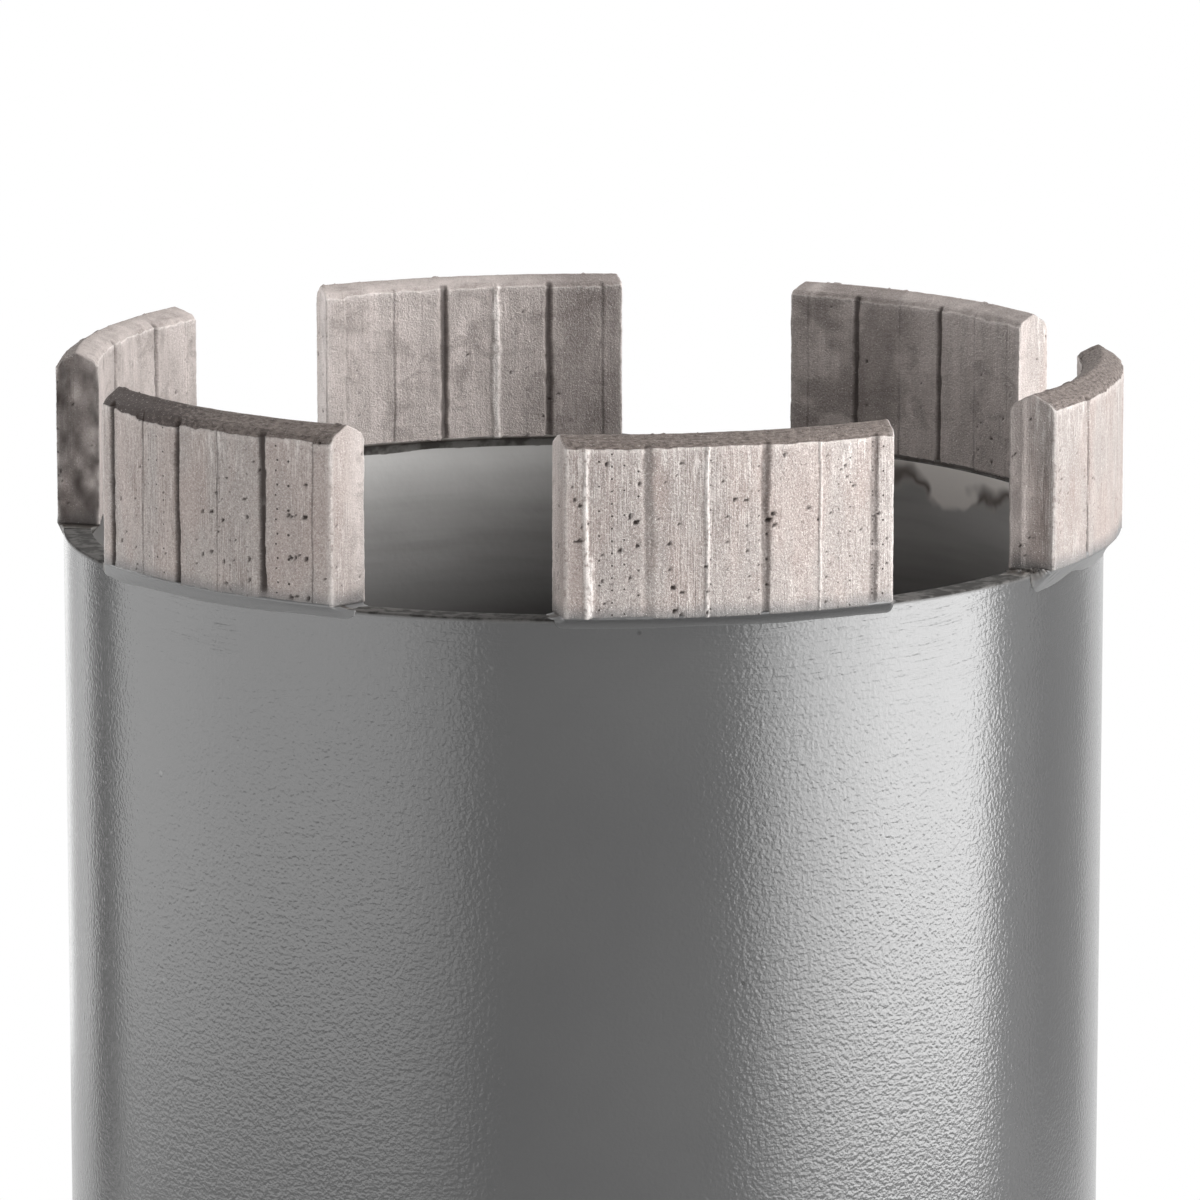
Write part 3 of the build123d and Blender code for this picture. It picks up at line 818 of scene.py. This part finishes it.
def sintered_metal():
    """Sintered metal powder with diamond grit: warm grey, grainy, with upright scratches and pores."""
    f = Finish("sintered_matrix")
    local = f.field("local", "Vector")
    hollow, roof, edge, layer, end = (f.field(key) for key in ("hollow", "roof", "edge", "layer", "end"))
    outward, along, h = (f.split(local, axis) for axis in "XYZ")
    outer = outward.step(-1.0, 1.0)
    sides = 1 - roof

    def upright(stretch, *how):
        """Noise drawn out upwards: the smaller the stretch, the longer."""
        return f.noise(f.scaled(local, (1.0, 1.0, stretch)), *how)

    streak = upright(0.06, 5.5, 4.0, 0.6)
    broad = upright(0.35, 0.7, 3.0, 0.55)
    speck = f.noise(local, 6.5, 3.0, 0.7)
    dust = f.noise(local, 11.0, 2.0, 0.6)
    # White points: diamond grit, partly painted glint.
    grit_and_glint = 1 - f.cells(local, 3.6).step(0.05, 0.18)
    # Small pores that come back at the same place in every course
    course = f.joined(along + outward.step(-0.1, 0.1) * 500, h.math("MODULO", COURSE))
    chosen = f.split(f.cells(course, 1.15, 1, flat=True), "X")
    pore = 1 - (f.cells(course, 1.15, flat=True) - (chosen - 0.7) * 0.12).step(0.045, 0.085)
    pore = pore * chosen.step(0.7, 0.72) * sides * (1 - end) * (layer * 1.3).step(0.35, 0.75) * outer
    # Darkest in deep joints and pores: their own dark colour, partly painted shade.
    dark = hollow.most(pore * 0.9)
    patch = broad.step(0.3, 0.72)
    smudge = f.noise(f.scaled(local, (1.0, 0.8, 1.1)), 0.42, 4.0, 0.6, 0.8).step(0.5, 0.68)
    # Inner faces are paler than outer ones: painted light on the faces inside the ring.
    inner = f.mix(patch, (0.5, 0.445, 0.42), (0.68, 0.605, 0.575))
    inner = f.mix(smudge * 0.45, inner, (0.2, 0.165, 0.15))
    colour = f.mix(outward.step(0.9, -0.9), f.mix(patch, (0.35, 0.298, 0.275), (0.46, 0.405, 0.378)), inner)
    tint = f.mix(upright(0.3, 0.36).step(0.38, 0.62), (0.385, 0.36, 0.345), (0.43, 0.345, 0.315))
    # Patches with fine upright scratches, and pale upright streaks below the eaves
    scored = upright(0.3, 0.3).step(0.44, 0.58) * outer * sides
    scores = upright(0.03, 12.0, 3.0, 0.65)
    bright_streaks = upright(0.13, 2.6, 3.0, 0.6).step(0.54, 0.66) * h.step(8.0, 11.0)
    stain = upright(0.55, 0.55, 4.0, 0.6, 0.5).step(0.5, 0.72)
    calm = (0.55 + outer * 0.45) * f.field("coarse")
    spray = 1 - (h + broad * 0.9).step(0.45, 1.75)
    crust = f.noise(f.scaled(local, (2.2, 0.7, 0.0)), 2.4, 4.0, 0.7) - f.field("burnt") * 0.3
    skin = f.mix(crust.step(0.22, 0.68), (0.058, 0.042, 0.037), (0.27, 0.228, 0.205))
    skin = f.mix(f.noise(local, 4.5, 2.0, 0.7).step(0.6, 0.7) * 0.5, skin, (0.42, 0.38, 0.355))
    for share, paint in (
        (outward.step(-0.9, 0.9) * 0.45, tint),
        (streak.step(0.5, 0.75) * 0.35 * sides * (1 - end), (0.27, 0.22, 0.2)),
        (scores.step(0.52, 0.64) * scored * 0.6, (0.76, 0.71, 0.68)),
        (scores.step(0.48, 0.36) * scored * 0.65, (0.17, 0.138, 0.125)),
        (bright_streaks * outer * sides * 0.6, (0.8, 0.755, 0.725)),
        (stain * 0.4 * outer * (1 - end), (0.29, 0.225, 0.2)),
        (layer * 0.22, (0.54, 0.48, 0.455)),
        # sooty patches, and painted shade towards one end of the third segment's inner face
        (f.field("soot_and_shade"), (0.16, 0.13, 0.118)),
        (speck.step(0.53, 0.68) * 0.6 * calm, (0.8, 0.75, 0.72)),
        (dust.step(0.55, 0.7) * 0.35 * calm, PALE_GRIT_AND_HIGHLIGHT),
        (dust.step(0.45, 0.32) * 0.35 * calm, DARK_GRIT),
        (speck.step(0.47, 0.32) * 0.7 * calm, DARK_GRIT),
        (spray * 0.75 * outward.step(-1.72, -1.2), (0.17, 0.17, 0.17)),
        (f.field("skin"), skin),
        # edges and proud ridges paler: wear, partly painted highlight
        (edge * 0.7 * f.noise(local, 3.0).step(0.3, 0.55), PALE_GRIT_AND_HIGHLIGHT),
        (dark, (0.052, 0.038, 0.033)),
        (grit_and_glint * 0.65 * (1 - dark) * (1 - roof * 0.7), (0.88, 0.85, 0.82)),
    ):
        colour = f.mix(share, colour, paint)
    fine = (speck * 0.9 + f.noise(local, 16.0) * 0.4 + streak * 0.35 + scores * scored * 0.6
            + grit_and_glint * 0.4 - pore * 1.2)
    gloss = 0.42 + speck * 0.18 + roof * 0.2 + dark * 0.2
    return f.finished(f.shader(Base_Color=colour, Roughness=gloss, Metallic=0.35 * (1 - dark),
                               Normal=f.bump(fine, 0.9, 0.0001)))


def fillet_paint():
    """The tube's enamel over the braze, lightened on some fillets with painted light; bare braze with flux
    and sooty marks inside and on parts of the ends, darkest along the segment's foot, partly as painted
    contact shadow.
    """
    f = Finish("fillet_enamel")
    at = f.place()
    spots = f.noise(at, 900, 3.0, 0.6)
    show = (f.field("bare") + spots - 0.55).step(0.15, 0.45)
    # Dark along the segment's foot: flux, partly painted contact shadow.
    line = 1 - ((f.split(at, "Z") * 1000 - SEGMENT_FOOT).math("ABSOLUTE") + spots * 0.3).step(0.22, 0.36)
    braze = f.mix(f.noise(at, 500, 3.0, 0.6).step(0.4, 0.6), (0.1, 0.092, 0.085), (0.27, 0.26, 0.245))
    braze = f.mix(line * 0.85, braze, (0.07, 0.058, 0.05))
    metal = f.shader(Base_Color=braze, Roughness=0.5 + spots * 0.2, Metallic=0.2 * spots,
                     Normal=f.bump(spots, 0.8, 0.0001))
    base, gloss, height = sprayed(f, at)
    # Enamel lightened by painted light on the downward-facing fillets.
    base = f.mix(f.field("painted_fill_light") * 0.55, base, (0.26, 0.26, 0.26))
    enamel = f.shader(Base_Color=base, Roughness=gloss + 0.22, Normal=f.bump(height, 1.0, PEEL),
                      IOR=ENAMEL_IOR)
    return f.finished(f.blend(show, enamel, metal))


def turned_steel():
    """Bare machined steel: fine marks round the tool axis, brighter worn edges, a thin film of old oil."""
    f = Finish("machined_steel")
    at = f.place()
    x, y, z = (f.split(at, axis) for axis in "XYZ")
    marks = f.noise(f.joined((x * x + y * y) ** 0.5, z), 2600, 3.0, 0.6)
    cloud = f.noise(at, 60)
    spots = f.noise(at, 420, 3.0, 0.65)
    colour = f.mix(marks.step(0.3, 0.7), (0.285, 0.28, 0.274), (0.335, 0.33, 0.322))
    colour = f.mix(cloud.step(0.4, 0.75) * 0.16, colour, (0.22, 0.205, 0.19))
    colour = f.mix(spots.step(0.66, 0.74) * 0.3, colour, (0.15, 0.125, 0.105))
    colour = f.mix(f.edges(0.0005) * spots.step(0.3, 0.5) * 0.85, colour, (0.72, 0.715, 0.705))
    gloss = 0.3 + marks * 0.1 + cloud * 0.06 + spots.step(0.6, 0.7) * 0.15
    return f.finished(f.shader(Base_Color=colour, Roughness=gloss, Metallic=0.96,
                               Normal=f.bump(marks, 0.6, 0.00003)))


def studio_floor():
    """Pale floor that keeps the shadow near the object and is plain white further off."""
    f = Finish("studio_floor")
    at = f.place()
    x, y = f.split(at, "X"), f.split(at, "Y")
    reach = (x * x + y * y) ** 0.5
    far, near = reach.step(0.14, 0.46), reach.step(0.01, 0.11)
    matte = f.node("BsdfDiffuse", {"Color": (0.86, 0.86, 0.86, 1)})
    share = (far * f.ray("Camera")).most(near * f.ray("Glossy").most(f.ray("Transmission")))
    return f.finished(f.blend(share, matte, f.glow(1)))


# Put the pieces together

def dress(piece, finish, node):
    """Shows the piece in place of the node, with this finish."""
    piece.data.materials.append(finish)
    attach(piece, "root")
    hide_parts(node)


dress(tube_surface(), tube_paint(), "barrel")
matrix, paint_on_braze = sintered_metal(), fillet_paint()
for number in HEADINGS:
    dress(segment_surface(number), matrix, f"segment_{number}")
    dress(braze_surface(number), paint_on_braze, f"braze_{number}")
paint = enamel_paint()
cap_bead = bead_surface("cap_bead", (TUBE_RADIUS, TUBE_FOOT - WELD_BEVEL),
                        (TUBE_RADIUS - WELD_BEVEL, TUBE_FOOT),
                        (TUBE_RADIUS, TUBE_FOOT + WELD_BEVEL), 0.27, 150, 51)
hub_bead = bead_surface("hub_bead", (COLLAR_RADIUS, CAP_UNDERSIDE - HUB_WELD_LEG),
                        (COLLAR_RADIUS, CAP_UNDERSIDE),
                        (COLLAR_RADIUS + HUB_WELD_LEG, CAP_UNDERSIDE), 0.32, 110, 61)
dress(cap_bead, paint, "cap_weld")
dress(hub_bead, paint, "hub_weld")

steel = turned_steel()
thread = thread_surface()
thread.data.materials.append(steel)
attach(thread, "root")

for node, finish in (("end_cap", paint), ("hub", steel)):
    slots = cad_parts[node].data.materials
    for k in range(len(slots)):
        slots[k] = finish
    if not len(slots):
        slots.append(finish)


# Stage, light and camera

def sheet(name, corners, finish):
    """One flat quad."""
    mesh = bpy.data.meshes.new(name)
    mesh.from_pydata(corners, [], [(0, 1, 2, 3)])
    mesh.materials.append(finish)
    return placed(name, mesh)


def heading(degrees):
    """Level direction at this angle from the camera's side of the tool."""
    t = math.radians(CAMERA_HEADING + degrees)
    return Vector((math.cos(t), math.sin(t), 0))


FLOOR_REACH = 8
floor = sheet("floor",
              [(x * FLOOR_REACH, y * FLOOR_REACH, 0) for x, y in ((-1, -1), (1, -1), (1, 1), (-1, 1))],
              studio_floor())

# The camera, fitted to the photograph: its place by the tube's radius, its lens by the frame of 1200 pixels
CAMERA_HEADING = -75.1
DISTANCE = 15.1905 * TUBE_RADIUS * MM
RISE = math.radians(10.2528)
PITCH = math.radians(10.8274)
YAW = math.radians(0.1009)
SIDE = -0.0057 * TUBE_RADIUS * MM
SENSOR = 36
away, up = heading(0), Vector((0, 0, 1))
right = Vector((-away.y, away.x, 0))
aim = -away * math.cos(YAW) * math.cos(PITCH) + right * math.sin(YAW) * math.cos(PITCH)
aim = aim - up * math.sin(PITCH)
camera_data = bpy.data.cameras.new("camera")
camera_data.lens = 7870.9 / 1200 * SENSOR
camera_data.sensor_width = SENSOR
camera_data.clip_end = 50
camera = placed("camera", camera_data)
camera.location = (away * DISTANCE * math.cos(RISE) + right * SIDE
                   + up * (RIM * MM + DISTANCE * math.sin(RISE)))
camera.rotation_euler = aim.to_track_quat("-Z", "Y").to_euler()
bpy.context.scene.camera = camera

LAMP_DISTANCE, CARD_DISTANCE = 0.55, 0.5


def width_between(start, end, distance):
    """Width of a panel that fills the angle from start to end at this distance from the tool axis."""
    return 2 * distance * math.tan(math.radians(end - start) / 2)


def panel_lamp(name, start, end, bottom, top, strength):
    """Upright soft lamp that faces the tool axis.

    Its power is pi * area * strength, so that it looks as bright as a white of that strength.
    """
    towards, width = heading((start + end) / 2), width_between(start, end, LAMP_DISTANCE)
    data = bpy.data.lights.new(name, "AREA")
    data.shape = "RECTANGLE"
    data.size, data.size_y = width, top - bottom
    data.energy = pi * width * (top - bottom) * strength
    lamp = placed(name, data)
    lamp.location = towards * LAMP_DISTANCE + up * (bottom + top) / 2
    lamp.rotation_euler = (-towards).to_track_quat("-Z", "Y").to_euler()
    lamp.visible_camera = False


def grey_card(name, start, end, bottom, top, tone):
    """Upright grey card that shows in reflections alone."""
    towards = heading((start + end) / 2)
    foot, half = towards * CARD_DISTANCE, up.cross(towards) * width_between(start, end, CARD_DISTANCE) / 2
    f = Finish(name)
    card = sheet(name, [foot - half + up * bottom, foot + half + up * bottom, foot + half + up * top,
                        foot - half + up * top], f.finished(f.glow(tone)))
    card.visible_camera = card.visible_diffuse = card.visible_shadow = False


grey_card("card_left", -135, -122, 0.0, 0.15, 0.38)
grey_card("card_right", 114, 143, 0.0, 0.15, 0.55)

# Soft boxes in narrow panels, by their bottom and top: start, end and strength of each
PANELS = {
    (0.005, 0.3): ((-166, -157, 0.7),),
    (0.005, 0.15): (
        (-143.5, -138, 0.8), (-122, -118, 0.8), (-118, -108, 1.1), (-108, -98, 1.4), (-98, -88, 1.7),
        (-88, -78, 1.75), (-78, -68, 1.8), (-68, -58, 1.85), (-58, -48, 1.85), (-48, -36, 1.7),
        (-36, -25, 1.1), (36, 45, 2.5), (45, 55, 4.9), (55, 65, 6.3), (65, 75, 7.1), (75, 86, 6.6),
        (86, 97, 6.4),
    ),
    (0.15, 0.5): ((-145, -125, 4.4), (-75, -40, 0.5), (35, 55, 4.2), (60, 80, 4.6), (120, 140, 1.8)),
    (0.5, 0.95): ((65, 105, 12.0),),
}
count = 0
for (bottom, top), panels in PANELS.items():
    for start, end, strength in panels:
        count += 1
        panel_lamp(f"panel_{count}", start, end, bottom, top, strength)

# A little even light; the camera and all reflections see white
AMBIENT = 0.085
world = Finish("studio", bpy.data.worlds.new("studio"))
bpy.context.scene.world = world.owner
ambient, backdrop = (world.node("Background", {"Color": (1, 1, 1, 1), "Strength": strength})
                     for strength in (AMBIENT, 1.0))
white_rays = world.ray("Camera").most(world.ray("Glossy").most(world.ray("Transmission")))
world.finished(world.blend(white_rays, ambient, backdrop), "OutputWorld")

bpy.context.scene.view_settings.view_transform = "Standard"


def corners(box):
    """Box corners as plain lists."""
    return [[float(v) for v in corner] for corner in box]
